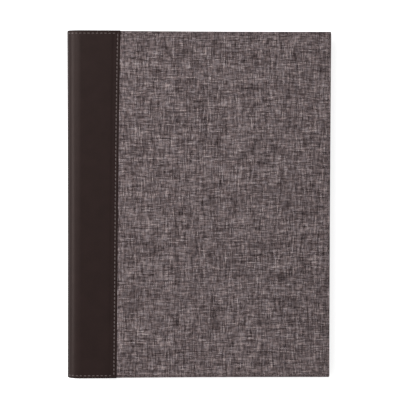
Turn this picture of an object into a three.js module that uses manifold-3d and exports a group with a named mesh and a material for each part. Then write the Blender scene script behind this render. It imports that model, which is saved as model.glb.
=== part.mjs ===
import * as THREE from "three";
import { mergeVertices } from "three/addons/utils/BufferGeometryUtils.js";
import Module from "manifold-3d";

// A padfolio, closed and lying on its back cover. Sizes are in millimetres.
// X runs from the spine to the fore edge, Y from the tail to the head, Z up through the thickness.
// The origin is under the middle of the folder, on the surface that it lies on.

// Writing pad, which sets the size of the folder around it.
const padWidth = 216;
const padHeight = 279;
const padSheetsThickness = 5;
const padBackingThickness = 0.8;
const padTapeThickness = 0.3;
const padTapeReach = 14;

// Room round the pad inside the folder.
const padSpineMargin = 7.5;
const padForeMargin = 4.5;
const padEndMargin = 19.5;

// Layers of a cover, from the outside in.
const leatherThickness = 1.1;
const fabricThickness = 0.7;
const boardThickness = 1.9;
const liningThickness = 0.5;
const layerGap = 0.05;
const turnIn = 12;
const skinRound = 1.2;
const liningInset = 1.3;

// The leather strip round the spine.
const spineBulge = 13;
const leatherReach = 33.2;
const seamFlareHead = 2.4;
const seamFlareTail = -1.2;
const seamGap = 0.15;
const tongueReach = 8;
const tongueThickness = 0.35;
const hingeGap = 0.3;
const arcSteps = 14;

// Pockets and the pen loop.
const slack = 0.3;
const pocketRim = 2.7;
const padPocketThickness = 0.6;
const padPocketMouth = 62;
const pocketSheet = 0.4;
const pocketRoom = 0.3;
const documentPocketMouth = 8;
const documentPocketRise = 26;
const cardPocketWidth = 104;
const cardPocketForeMargin = 14;
const cardPocketFootGap = 4;
const cardPocketStep = 19;
const cardPocketHeight = 62;
const cardPocketCount = 3;
const cardPocketCorner = 2;
const closingGap = 0.5;
const penLoopThickness = 1;
const penLoopRadius = 5.3;
const penLoopWidth = 26;
const penLoopHeight = 34;
const penLoopTab = 4;

// Sizes that follow.
const leatherProud = leatherThickness - fabricThickness;
const overallWidth = spineBulge + padSpineMargin + padWidth + padForeMargin;
const overallHeight = padHeight + 2 * padEndMargin;
const foreX = overallWidth / 2;
const boardX = spineBulge - overallWidth / 2;
const seamX = boardX + leatherReach;
const leatherY = overallHeight / 2;
const fabricY = leatherY - leatherProud;
const boardY = leatherY - leatherThickness - layerGap;
const boardForeX = foreX - fabricThickness - layerGap;

// Depths into a cover, counted from its outer face.
const boardOuter = leatherThickness + layerGap;
const boardInner = boardOuter + boardThickness;
const lipOuter = boardInner + layerGap;
const lipInner = lipOuter + fabricThickness;
const liningOuter = lipInner + layerGap;
const coverDepth = liningOuter + liningThickness;

// Heights inside the closed folder.
const backingBottom = coverDepth + padTapeThickness + layerGap;
const backingTop = backingBottom + padBackingThickness;
const padPocketTop = backingTop + slack + padPocketThickness;
const sheetsBottom = padPocketTop + layerGap;
const sheetsTop = sheetsBottom + padSheetsThickness;
const padTop = sheetsTop + layerGap + padTapeThickness;
const cardPocketDepth = pocketRoom + pocketSheet + layerGap;
const pocketStack = cardPocketCount * cardPocketDepth;
const closedThickness = padTop + closingGap + pocketStack + coverDepth;

// The spine is half an ellipse. Each hinge axis is placed so that the leather lies flat, at its own
// length, when both hinges are open.
const spineHalf = closedThickness / 2;
const quarterLength = new THREE.EllipseCurve(0, 0, spineBulge, spineHalf, 0, Math.PI / 2).getLength();
const hingeOut = (spineBulge + quarterLength - spineHalf) / 2;
const hingeTurn = Math.asin(hingeOut / spineBulge);
const hingeGapTurn = hingeGap / spineHalf;

const padX0 = boardX + padSpineMargin;
const padX1 = padX0 + padWidth;
const padY = padHeight / 2;
const liningForeX = foreX - liningInset;
const liningY = fabricY - liningInset;
const pocketX0 = padX0 - slack - pocketRim;

const wasm = await Module();
wasm.setup();

// Turns a closed three.js geometry into a solid that can be joined and cut.
function solidOf(geometry) {
  const bare = geometry.clone();
  bare.deleteAttribute("normal");
  bare.deleteAttribute("uv");
  const merged = mergeVertices(bare, 1e-5);
  const mesh = new wasm.Mesh({
    numProp: 3,
    vertProperties: merged.attributes.position.array,
    triVerts: new Uint32Array(merged.index.array),
  });
  return new wasm.Manifold(mesh);
}

// Turns a solid back into a three.js geometry.
function geometryOf(solid) {
  const mesh = solid.getMesh();
  const geometry = new THREE.BufferGeometry();
  geometry.setAttribute("position", new THREE.BufferAttribute(mesh.vertProperties, 3));
  geometry.setIndex(new THREE.BufferAttribute(mesh.triVerts, 1));
  geometry.computeVertexNormals();
  return geometry;
}

// A box from its lowest to its highest corner.
function block(x0, x1, y0, y1, z0, z1) {
  const box = new THREE.BoxGeometry(x1 - x0, y1 - y0, z1 - z0);
  box.translate((x0 + x1) / 2, (y0 + y1) / 2, (z0 + z1) / 2);
  return solidOf(box);
}

// A plan outline raised from z0 to z1, with its edges rounded over when round is above 0.
function raised(outline, z0, z1, round = 0) {
  const plate = new THREE.ExtrudeGeometry(outline, {
    depth: z1 - z0 - 2 * round,
    steps: 1,
    curveSegments: 16,
    bevelEnabled: round > 0,
    bevelThickness: round,
    bevelSize: round,
    bevelOffset: -round,
    bevelSegments: 3,
  });
  plate.translate(0, 0, z0 + round);
  return solidOf(plate);
}

// A section in X and Z, drawn as a shape, run from y0 to y1.
function run(section, y0, y1) {
  const bar = new THREE.ExtrudeGeometry(section, {
    depth: y1 - y0,
    steps: 1,
    curveSegments: arcSteps,
    bevelEnabled: false,
  });
  bar.rotateX(Math.PI / 2);
  bar.translate(0, y1, 0);
  return solidOf(bar);
}

function rectangle(x0, x1, y0, y1) {
  return new THREE.Shape([
    new THREE.Vector2(x0, y0),
    new THREE.Vector2(x1, y0),
    new THREE.Vector2(x1, y1),
    new THREE.Vector2(x0, y1),
  ]);
}

function roundedRectangle(x0, x1, y0, y1, r) {
  const shape = new THREE.Shape();
  shape.absarc(x0 + r, y0 + r, r, Math.PI, 1.5 * Math.PI, false);
  shape.absarc(x1 - r, y0 + r, r, 1.5 * Math.PI, 2 * Math.PI, false);
  shape.absarc(x1 - r, y1 - r, r, 0, 0.5 * Math.PI, false);
  shape.absarc(x0 + r, y1 - r, r, 0.5 * Math.PI, Math.PI, false);
  return shape;
}

// A skin folded round a board: an outer face, walls at the free edges and a turn-in on the inside.
// It is open towards the spine, and reaches x1 and halfHeight on the outside.
function foldedSkin(x1, halfHeight, outerFace, wall) {
  const openX = boardX - spineBulge;
  const body = raised(rectangle(openX, x1, -halfHeight, halfHeight), outerFace, lipInner, skinRound);
  const wallY = halfHeight - wall;
  const cavity = block(openX - 1, x1 - wall, -wallY, wallY, leatherThickness, lipOuter);
  const mouthY = halfHeight - turnIn;
  const mouth = block(openX - 1, x1 - turnIn, -mouthY, mouthY, boardInner, lipInner + 1);
  return body.subtract(cavity).subtract(mouth);
}

// Everything on the spine side of the sewn edge, which wanders a little from head to tail.
function spineSide(fromX, flareHead, flareTail, shift) {
  const end = leatherY + 1;
  const outline = new THREE.Shape();
  outline.moveTo(fromX, -end);
  outline.lineTo(seamX + flareTail + shift, -end);
  outline.bezierCurveTo(seamX + shift, -end / 3, seamX + shift, end / 3, seamX + flareHead + shift, end);
  outline.lineTo(fromX, end);
  return raised(outline, -1, coverDepth + 1);
}

// A curved strip of the spine: between two depths under its outer surface, over a stretch of the
// half ellipse that is counted in radians from the middle of the back cover's outer face.
function spineSection(depth0, depth1, turn0, turn1) {
  const bottom = -Math.PI / 2;
  const section = new THREE.Shape();
  section.absellipse(
    boardX, spineHalf, spineBulge - depth0, spineHalf - depth0, bottom - turn0, bottom - turn1, true,
  );
  section.absellipse(
    boardX, spineHalf, spineBulge - depth1, spineHalf - depth1, bottom - turn1, bottom - turn0, false,
  );
  return section;
}

// The curved part of a leather strip, with its hems folded in at head and tail.
function spineShell(turn0, turn1) {
  const shell = run(spineSection(0, leatherThickness, turn0, turn1), -leatherY, leatherY);
  const hemDepth = leatherThickness + layerGap + liningThickness;
  const hem = spineSection(leatherThickness - layerGap, hemDepth, turn0, turn1);
  const head = run(hem, leatherY - turnIn, leatherY);
  const tail = run(hem, -leatherY, turnIn - leatherY);
  return shell.add(head).add(tail);
}

function fabricPanel(flareHead, flareTail) {
  const skin = foldedSkin(foreX, fabricY, leatherProud, fabricThickness);
  const panel = skin.subtract(spineSide(-foreX, flareHead, flareTail, seamGap));
  const tongueTop = leatherThickness - tongueThickness;
  const tongue = block(
    seamX - tongueReach, seamX + tongueReach, -boardY + slack, boardY - slack, tongueTop, leatherThickness,
  );
  return panel.add(tongue);
}

function leatherPanel(flareHead, flareTail) {
  const skin = foldedSkin(foreX, leatherY, 0, leatherThickness);
  const wing = skin.intersect(spineSide(boardX - hingeGap, flareHead, flareTail, 0));
  const rebateDepth = leatherThickness - tongueThickness - layerGap;
  const rebate = block(
    seamX - tongueReach - slack, foreX, -boardY, boardY, rebateDepth, leatherThickness + layerGap,
  );
  const arc = spineShell(0, hingeTurn - hingeGapTurn);
  return wing.subtract(rebate).add(arc);
}

function boardPanel() {
  return block(boardX, boardForeX, -boardY, boardY, boardOuter, boardInner);
}

// The lining lies on the board between the turn-ins, laps over them, and runs down the board's
// spine edge and along the inside of the leather to the hinge.
function liningPanel() {
  const riserX = boardX - layerGap - liningThickness;
  const lap = raised(rectangle(riserX, liningForeX, -liningY, liningY), liningOuter, coverDepth);
  const plugY = fabricY - turnIn - slack;
  const plug = block(riserX, foreX - turnIn - slack, -plugY, plugY, boardInner + layerGap, coverDepth);
  const tailDepth = leatherThickness + layerGap;
  const tailSection = spineSection(tailDepth, tailDepth + liningThickness, 0, hingeTurn - hingeGapTurn);
  const tail = run(tailSection, -plugY, plugY);
  const riser = block(riserX, boardX - layerGap, -plugY, plugY, tailDepth + layerGap, coverDepth);
  return lap.add(plug).add(riser).add(tail);
}

// A flat pocket: a sheet held off its backing by a rim on the sides that are sewn.
function pocket(outline, room, z0, roomDepth, z1) {
  const sheet = raised(outline, z0, z1);
  return sheet.subtract(raised(room, z0 - 1, z0 + roomDepth));
}

function padPocket() {
  const outline = rectangle(pocketX0, liningForeX, -liningY, padPocketMouth);
  const roomY = -padY - slack;
  const room = rectangle(padX0 - slack, padX1 + slack, roomY, padPocketMouth + 1);
  const z0 = coverDepth + layerGap;
  return pocket(outline, room, z0, backingTop + slack - z0, padPocketTop);
}

// The pad's binding tape: under the backing, over the head of the pad and down its front.
function padBinding() {
  const outer = block(
    padX0, padX1, padY - padTapeReach, padY + layerGap + padTapeThickness, coverDepth + layerGap, padTop,
  );
  const inner = block(
    padX0 - 1, padX1 + 1, padY - padTapeReach - 1, padY + layerGap, backingBottom - layerGap, sheetsTop + layerGap,
  );
  return outer.subtract(inner);
}

// An elastic loop for a pen, standing in the hollow of the spine on a tab sewn to the lining.
function penLoop() {
  const bottom = coverDepth + layerGap;
  const centreX = boardX - slack - penLoopRadius;
  const centreZ = bottom + penLoopRadius;
  const meetX = Math.sqrt(penLoopRadius ** 2 - (penLoopRadius - penLoopThickness) ** 2);
  const meetTurn = Math.atan2(penLoopThickness - penLoopRadius, meetX);
  const section = new THREE.Shape();
  section.moveTo(boardX + penLoopTab, bottom + penLoopThickness);
  section.absarc(centreX, centreZ, penLoopRadius, meetTurn, 1.5 * Math.PI, false);
  section.lineTo(boardX + penLoopTab, bottom);
  const hole = new THREE.Path();
  hole.absarc(centreX, centreZ, penLoopRadius - penLoopThickness, 0, 2 * Math.PI, true);
  section.holes.push(hole);
  return run(section, penLoopHeight - penLoopWidth / 2, penLoopHeight + penLoopWidth / 2);
}

// The document pocket's mouth rises in a slow curve towards the fore edge.
function documentOutline(x0, x1, y0, lift) {
  const mouth = documentPocketMouth + lift;
  const outline = new THREE.Shape();
  outline.moveTo(x0, y0);
  outline.lineTo(x1, y0);
  outline.lineTo(x1, mouth + documentPocketRise);
  outline.quadraticCurveTo((x0 + x1) / 2, mouth, x0, mouth);
  return outline;
}

function documentPocket() {
  const outline = documentOutline(pocketX0, liningForeX, -liningY, 0);
  const room = documentOutline(
    pocketX0 + pocketRim, liningForeX - pocketRim, -liningY + pocketRim, documentPocketRise,
  );
  const z0 = coverDepth + layerGap;
  return pocket(outline, room, z0, pocketRoom, z0 + pocketRoom + pocketSheet);
}

// Card pockets overlap like steps: each next one lies on the last and starts lower.
function cardPocket(step) {
  const x1 = liningForeX - cardPocketForeMargin;
  const x0 = x1 - cardPocketWidth;
  const y0 = documentPocketMouth + documentPocketRise + cardPocketFootGap;
  const y1 = y0 + cardPocketHeight + (cardPocketCount - 1 - step) * cardPocketStep;
  const outline = roundedRectangle(x0, x1, y0, y1, cardPocketCorner);
  const room = rectangle(x0 + pocketRim, x1 - pocketRim, y1 - cardPocketHeight + pocketRim, y1 + 1);
  const z0 = coverDepth + layerGap + step * cardPocketDepth;
  return pocket(outline, room, z0, pocketRoom, z0 + pocketRoom + pocketSheet);
}

function finish(color, roughness) {
  return new THREE.MeshStandardMaterial({ color, roughness, metalness: 0 });
}

const leather = finish(0x2f2524, 0.45);
const fabric = finish(0x675c5c, 0.95);
const lining = finish(0x383031, 0.85);
const board = finish(0x8b7f70, 0.9);
const card = finish(0x9a8a72, 0.9);
const paper = finish(0xf3f1ea, 0.85);
const tape = finish(0x2a2a2e, 0.7);
const elastic = finish(0x201c1c, 0.9);

function piece(name, solid, material) {
  const mesh = new THREE.Mesh(geometryOf(solid), material.clone());
  mesh.name = name;
  return mesh;
}

const backCover = new THREE.Group();
backCover.add(piece("back_leather", leatherPanel(0, 0), leather));
backCover.add(piece("back_fabric", fabricPanel(0, 0), fabric));
backCover.add(piece("back_board", boardPanel(), board));
backCover.add(piece("back_lining", liningPanel(), lining));
backCover.add(piece("pad_pocket", padPocket(), lining));
backCover.add(piece("pad_backing", block(padX0, padX1, -padY, padY, backingBottom, backingTop), card));
backCover.add(piece("pad_sheets", block(padX0, padX1, -padY, padY, sheetsBottom, sheetsTop), paper));
backCover.add(piece("pad_binding", padBinding(), tape));
backCover.add(piece("pen_loop", penLoop(), elastic));

const spine = new THREE.Group();
const spineTurn0 = hingeTurn + hingeGapTurn;
const spineTurn1 = Math.PI - spineTurn0;
const spineLiningDepth = leatherThickness + layerGap;
const spineLiningY = leatherY - turnIn - slack;
const spineLiningSection = spineSection(
  spineLiningDepth, spineLiningDepth + liningThickness, spineTurn0, spineTurn1,
);
spine.add(piece("spine_leather", spineShell(spineTurn0, spineTurn1), leather));
spine.add(piece("spine_lining", run(spineLiningSection, -spineLiningY, spineLiningY), lining));

// The front cover is the back cover's mirror image, so it is built the same way and turned over.
const frontCover = new THREE.Group();
frontCover.scale.z = -1;
frontCover.position.z = closedThickness;
frontCover.add(piece("front_leather", leatherPanel(seamFlareHead, seamFlareTail), leather));
frontCover.add(piece("front_fabric", fabricPanel(seamFlareHead, seamFlareTail), fabric));
frontCover.add(piece("front_board", boardPanel(), board));
frontCover.add(piece("front_lining", liningPanel(), lining));
frontCover.add(piece("document_pocket", documentPocket(), lining));
["upper", "middle", "lower"].forEach((tier, step) => {
  frontCover.add(piece("card_pocket_" + tier, cardPocket(step), leather));
});

const padfolio = new THREE.Group();
padfolio.add(backCover, spine, frontCover);

export default padfolio;
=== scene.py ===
"""A closed padfolio on a pale table: heathered fabric covers and a dark leatherette spine strip."""

import logging
import math
from dataclasses import dataclass
from enum import Enum
from typing import Callable, Optional, Sequence

import bmesh
import bpy
from mathutils import Matrix, Vector


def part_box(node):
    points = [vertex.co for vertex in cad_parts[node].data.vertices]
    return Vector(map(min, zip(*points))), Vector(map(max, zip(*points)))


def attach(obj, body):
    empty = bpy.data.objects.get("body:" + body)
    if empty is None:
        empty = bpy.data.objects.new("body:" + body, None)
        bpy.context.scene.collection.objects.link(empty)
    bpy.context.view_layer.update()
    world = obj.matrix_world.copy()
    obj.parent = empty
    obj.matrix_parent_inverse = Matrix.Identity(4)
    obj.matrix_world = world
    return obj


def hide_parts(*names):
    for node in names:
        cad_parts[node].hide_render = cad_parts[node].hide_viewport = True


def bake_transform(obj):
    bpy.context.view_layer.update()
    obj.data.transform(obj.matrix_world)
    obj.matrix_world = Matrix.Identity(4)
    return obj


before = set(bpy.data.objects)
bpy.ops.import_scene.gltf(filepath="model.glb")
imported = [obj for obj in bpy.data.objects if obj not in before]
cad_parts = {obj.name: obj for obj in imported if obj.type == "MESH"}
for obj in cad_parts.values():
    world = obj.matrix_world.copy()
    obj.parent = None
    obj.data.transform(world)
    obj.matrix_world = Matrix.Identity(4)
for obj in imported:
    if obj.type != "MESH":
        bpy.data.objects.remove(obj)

log = logging.getLogger("padfolio")
MM = 0.001
CLOTH_MAP = "flat_cloth"
SHARP_ANGLE = math.radians(40)
LAYER_GAP = 0.05 * MM
IN = Vector((0, 0, -1))
OUT = Vector((0, 0, 1))
Point = tuple[float, float]
Socket = bpy.types.NodeSocket
Material = bpy.types.Material


class Cover(Enum):
    """The two covers. Each is built outer face up at height 0 and then set in its place."""

    FRONT = "front"
    BACK = "back"

    @property
    def body(self) -> str:
        """The name of the CAD body that the cover belongs to."""
        return self.value + "_cover"


@dataclass(frozen=True)
class Layout:
    """Places that the pieces share, in metres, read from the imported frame.

    The lining's spine edge rises a little into the hollow, past the cover's own depth.
    """

    top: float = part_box("front_leather")[1].z
    fore_x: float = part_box("front_fabric")[1].x
    board_x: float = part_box("front_board")[0].x
    spine_x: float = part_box("spine_leather")[0].x
    seam_x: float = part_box("back_leather")[1].x
    leather_y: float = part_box("back_leather")[1].y
    fabric_y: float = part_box("back_fabric")[1].y
    proud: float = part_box("back_fabric")[0].z
    lip_depth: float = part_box("back_fabric")[1].z
    lining_rise: float = 0.37 * MM
    cover_depth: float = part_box("back_lining")[1].z - lining_rise
    turn_in: float = 12 * MM
    flare_head: float = 2.4 * MM
    flare_tail: float = -1.2 * MM

    @property
    def bulge(self) -> float:
        """How far the spine stands out from the boards."""
        return self.board_x - self.spine_x

    @property
    def half(self) -> float:
        """Half of the closed thickness."""
        return self.top / 2

    def flare(self, y: float, cover: Cover) -> float:
        """How far the sewn edge has wandered from its mean line at a height on the page.

        Args:
            y: the place along the spine.
            cover: the cover that the edge is on; the back's edge is straight.

        Returns:
            The shift towards the fore edge.
        """
        if cover is Cover.BACK:
            return 0.0
        end = self.leather_y + MM
        t = min(1.0, max(0.0, (y + end) / (2 * end)))
        return (1 - t) ** 3 * self.flare_tail + t**3 * self.flare_head


AT = Layout()


def smooth(t: float) -> float:
    """An even ease from 0 to 1."""
    t = min(1.0, max(0.0, t))
    return t * t * (3 - 2 * t)


def furrow(distance: float, depth: float, width: float) -> float:
    """The depth of a stitched groove at a distance from its middle."""
    return depth * math.exp(-((distance / width) ** 2))


class Graph:
    """A short way to write a material's nodes."""

    def __init__(self, name: str) -> None:
        """Makes an empty material with a Principled shader.

        Args:
            name: the material's name.
        """
        self.material = bpy.data.materials.new(name)
        self.material.use_nodes = True
        self.tree = self.material.node_tree
        self.tree.nodes.clear()
        self.shader = self.tree.nodes.new("ShaderNodeBsdfPrincipled")
        out = self.tree.nodes.new("ShaderNodeOutputMaterial")
        self.tree.links.new(self.shader.outputs[0], out.inputs[0])

    def put(self, socket: Socket, value: object) -> None:
        """Links a socket to another, or sets its number.

        Args:
            socket: the input to feed.
            value: an output socket, a number or a tuple of numbers.
        """
        if isinstance(value, Socket):
            self.tree.links.new(value, socket)
        elif value is not None:
            socket.default_value = value

    def math(self, operation: str, a: object, b: object = None, c: object = None) -> Socket:
        """One Math node.

        Args:
            operation: the Math node's operation.
            a: the first value.
            b: the second value.
            c: the third value.

        Returns:
            The node's output.
        """
        node = self.tree.nodes.new("ShaderNodeMath")
        node.operation = operation
        for socket, value in zip(node.inputs, (a, b, c)):
            self.put(socket, value)
        return node.outputs[0]

    def point(self) -> tuple[Socket, Socket, Socket]:
        """The object coordinates, in millimetres.

        Returns:
            The x, y and z sockets.
        """
        coordinates = self.tree.nodes.new("ShaderNodeTexCoord")
        scale = self.tree.nodes.new("ShaderNodeVectorMath")
        scale.operation = "SCALE"
        self.put(scale.inputs[0], coordinates.outputs["Object"])
        scale.inputs["Scale"].default_value = 1 / MM
        split = self.tree.nodes.new("ShaderNodeSeparateXYZ")
        self.put(split.inputs[0], scale.outputs[0])
        return split.outputs[0], split.outputs[1], split.outputs[2]

    def cloth(self) -> tuple[Socket, Socket]:
        """The piece's own place on the flat cloth, in millimetres.

        Returns:
            The sockets across and along the cloth.
        """
        flat = self.tree.nodes.new("ShaderNodeUVMap")
        flat.uv_map = CLOTH_MAP
        scale = self.tree.nodes.new("ShaderNodeVectorMath")
        scale.operation = "SCALE"
        self.put(scale.inputs[0], flat.outputs[0])
        scale.inputs["Scale"].default_value = 1 / MM
        split = self.tree.nodes.new("ShaderNodeSeparateXYZ")
        self.put(split.inputs[0], scale.outputs[0])
        return split.outputs[0], split.outputs[1]

    def vector(self, x: object, y: object, z: object = 0.0) -> Socket:
        """Three values as a vector.

        Args:
            x: the first value.
            y: the second value.
            z: the third value.

        Returns:
            The vector.
        """
        node = self.tree.nodes.new("ShaderNodeCombineXYZ")
        for socket, value in zip(node.inputs, (x, y, z)):
            self.put(socket, value)
        return node.outputs[0]

    def noise(self, where: object, scale: float, detail: float = 2.0, rough: float = 0.5) -> Socket:
        """A Noise texture's value.

        Args:
            where: the vector to read it at.
            scale: features per unit.
            detail: octaves.
            rough: how strong the finer octaves are.

        Returns:
            A value of about 0.2 to 0.8.
        """
        node = self.tree.nodes.new("ShaderNodeTexNoise")
        self.put(node.inputs["Vector"], where)
        node.inputs["Scale"].default_value = scale
        node.inputs["Detail"].default_value = detail
        node.inputs["Roughness"].default_value = rough
        return node.outputs["Fac"]

    def white(self, where: object) -> Socket:
        """A White Noise texture's value.

        Args:
            where: the vector to read it at.

        Returns:
            A value from 0 to 1.
        """
        node = self.tree.nodes.new("ShaderNodeTexWhiteNoise")
        node.noise_dimensions = "3D"
        self.put(node.inputs["Vector"], where)
        return node.outputs["Value"]

    def ramp(self, value: object, stops: Sequence[tuple[float, tuple]]) -> Socket:
        """A colour ramp.

        Args:
            value: the place on the ramp.
            stops: places with their linear colours.

        Returns:
            The colour.
        """
        node = self.tree.nodes.new("ShaderNodeValToRGB")
        elements = node.color_ramp.elements
        while len(elements) < len(stops):
            elements.new(0.5)
        for element, (place, colour) in zip(elements, stops):
            element.position = place
            element.color = (*colour, 1.0)
        self.put(node.inputs[0], value)
        return node.outputs[0]

    def mottle(self, value: object, shade: tuple, spread: float) -> Socket:
        """A shade that wanders a little darker and lighter.

        Args:
            value: a noise's value.
            shade: the shade in sRGB, from 0 to 255.
            spread: how much darker and lighter it gets, as a share.

        Returns:
            The colour.
        """
        base = srgb(*shade)
        low = tuple((1 - spread) * v for v in base)
        high = tuple((1 + spread) * v for v in base)
        return self.ramp(value, [(0.3, low), (0.7, high)])

    def blend(self, factor: object, a: object, b: object, mode: str = "MIX") -> Socket:
        """Two colours mixed.

        Args:
            factor: how much of the second.
            a: the first colour.
            b: the second colour.
            mode: the way they mix.

        Returns:
            The colour.
        """
        node = self.tree.nodes.new("ShaderNodeMix")
        node.data_type = "RGBA"
        node.blend_type = mode
        self.put(node.inputs["Factor"], factor)
        self.put(node.inputs[6], (*a, 1.0) if isinstance(a, tuple) else a)
        self.put(node.inputs[7], (*b, 1.0) if isinstance(b, tuple) else b)
        return node.outputs[2]

    def choose(self, factor: object, a: object, b: object) -> Socket:
        """One value turning into another.

        Args:
            factor: 0 for the first value and 1 for the second.
            a: the first value.
            b: the second value.

        Returns:
            The value.
        """
        node = self.tree.nodes.new("ShaderNodeMix")
        node.data_type = "FLOAT"
        self.put(node.inputs[0], factor)
        self.put(node.inputs[2], a)
        self.put(node.inputs[3], b)
        return node.outputs[0]

    def bump(self, height: object, distance: float, strength: float = 1.0) -> None:
        """Feeds a height to the shader's normal.

        Args:
            height: the height, from 0 to 1.
            distance: what 1 stands for, in metres.
            strength: the bump's strength.
        """
        node = self.tree.nodes.new("ShaderNodeBump")
        node.inputs["Strength"].default_value = strength
        node.inputs["Distance"].default_value = distance
        self.put(node.inputs["Height"], height)
        self.put(self.shader.inputs["Normal"], node.outputs[0])

    def colour(self, value: object) -> None:
        """Feeds the shader's base colour."""
        self.put(self.shader.inputs["Base Color"], (*value, 1.0) if isinstance(value, tuple) else value)

    def gloss(self, roughness: object, specular: float, tint: tuple = (1.0, 1.0, 1.0)) -> None:
        """Sets how the surface shines.

        Args:
            roughness: a number or a socket.
            specular: the specular level.
            tint: the colour of the gloss seen from the front.
        """
        self.put(self.shader.inputs["Roughness"], roughness)
        self.shader.inputs["Specular IOR Level"].default_value = specular
        self.shader.inputs["Specular Tint"].default_value = (*tint, 1.0)


def srgb(r: float, g: float, b: float) -> tuple[float, float, float]:
    """A colour given as 0 to 255 in sRGB, as linear numbers."""
    return tuple(((v / 255 + 0.055) / 1.055) ** 2.4 if v > 10 else v / 255 / 12.92 for v in (r, g, b))


def grey(level: float) -> tuple[float, float, float]:
    """A linear grey."""
    return (level, level, level)


@dataclass(frozen=True)
class SlubWeave:
    """Heathered cloth: warp and weft threads of uneven tone cross over and under each other.

    The pitch of the threads, the length of their slubs and flecks, how far they wander and the
    relief are in millimetres. The shares say how strongly each of them changes a thread's tone.
    """

    name: str = "heathered_slub_weave"
    pitch: float = 0.86
    wander: float = 1.2
    slub: float = 11.0
    fleck: float = 4.5
    contrast: float = 0.82
    crossing: float = 0.2
    skipped: float = 0.22
    slub_share: float = 1.5
    fleck_share: float = 1.15
    thread_share: float = 0.14
    relief: float = 0.22
    darkest: tuple = (40, 31, 31)
    dark: tuple = (80, 69, 69)
    middle: tuple = (107, 95, 95)
    light: tuple = (134, 121, 121)
    lightest: tuple = (180, 166, 164)

    def make(self) -> Material:
        """Builds the material.

        Returns:
            The cloth's material.
        """
        g = Graph(self.name)
        x, y = g.cloth()
        drift = g.math("SUBTRACT", g.noise(g.vector(x, y, 3.0), 0.12, 2.0), 0.5)
        drift_y = g.math("SUBTRACT", g.noise(g.vector(y, x, 7.0), 0.12, 2.0), 0.5)
        column_at = g.math("DIVIDE", g.math("MULTIPLY_ADD", drift, self.wander, x), self.pitch)
        row_at = g.math("DIVIDE", g.math("MULTIPLY_ADD", drift_y, self.wander, y), self.pitch)
        column, row = g.math("FLOOR", column_at), g.math("FLOOR", row_at)
        warp = self.thread(g, column, y, 3.7)
        weft = self.thread(g, row, x, 91.3)
        parity = g.math("PINGPONG", g.math("ADD", column, row), 1.0)
        skip = g.math("GREATER_THAN", g.white(g.vector(column, row, 5.0)), 1 - self.skipped)
        over = g.math("ABSOLUTE", g.math("SUBTRACT", parity, skip))
        share = g.math("MULTIPLY_ADD", over, 2 * self.crossing, 0.5 - self.crossing)
        tone = g.choose(share, warp, weft)
        across = g.choose(over, self.crown(g, column_at), self.crown(g, row_at))
        along = g.choose(over, self.crown(g, row_at), self.crown(g, column_at))
        height = g.math("MULTIPLY", across, g.math("MULTIPLY_ADD", along, 0.45, 0.55))
        colours = (self.darkest, self.dark, self.middle, self.light, self.lightest)
        stops = tuple(zip((0.16, 0.37, 0.5, 0.63, 0.84), colours))
        cloth = g.ramp(tone, [(place, srgb(*colour)) for place, colour in stops])
        patch = g.vector(g.math("MULTIPLY", column, 0.31), g.math("MULTIPLY", row, 0.31), 2.0)
        cool, plain, warm = (0.965, 0.995, 1.03), (1.0, 1.0, 1.0), (1.035, 0.99, 0.98)
        tint = g.ramp(g.noise(patch, 0.9, 2.0), [(0.36, cool), (0.52, plain), (0.68, warm)])
        cloth = g.blend(1.0, cloth, tint, "MULTIPLY")
        # Painted shade: the cloth's colour is darkened in the hollows between threads and lightened on
        # their crowns, following the weave's height.
        shade = g.ramp(height, [(0.0, grey(0.55)), (0.5, grey(1.04)), (1.0, grey(1.1))])
        g.colour(g.blend(1.0, cloth, shade, "MULTIPLY"))
        g.gloss(0.92, 0.12)
        g.bump(height, self.relief * MM, 0.8)
        return g.material

    def thread(self, g: Graph, index: object, along: object, seed: float) -> Socket:
        """One thread's tone along its length: long slubs with short flecks, different on each thread.

        Args:
            g: the material's graph.
            index: the thread's number.
            along: the place along it, in millimetres.
            seed: keeps warp and weft apart.

        Returns:
            The tone, near 0.5.
        """
        own = g.math("MULTIPLY_ADD", index, 7.31, seed)
        long = g.noise(g.vector(own, g.math("DIVIDE", along, self.slub), seed), 1.0, 1.0)
        short = g.noise(g.vector(own, g.math("DIVIDE", along, self.fleck), seed + 40), 1.0, 2.0)
        base = g.math(
            "MULTIPLY_ADD", g.white(g.vector(index, seed, 0.0)), self.thread_share, -self.thread_share / 2
        )
        flecks = g.math("MULTIPLY_ADD", g.math("SUBTRACT", short, 0.5), self.fleck_share, base)
        slubs = g.math("MULTIPLY", g.math("SUBTRACT", long, 0.5), self.slub_share)
        return g.math("MULTIPLY_ADD", g.math("ADD", flecks, slubs), self.contrast, 0.5)

    @staticmethod
    def crown(g: Graph, place: object) -> Socket:
        """The round top of a thread: 0 at its sides and 1 on its crown."""
        middle = g.math("SUBTRACT", g.math("FRACT", place), 0.5)
        return g.math("COSINE", g.math("MULTIPLY", middle, math.pi))


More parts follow.
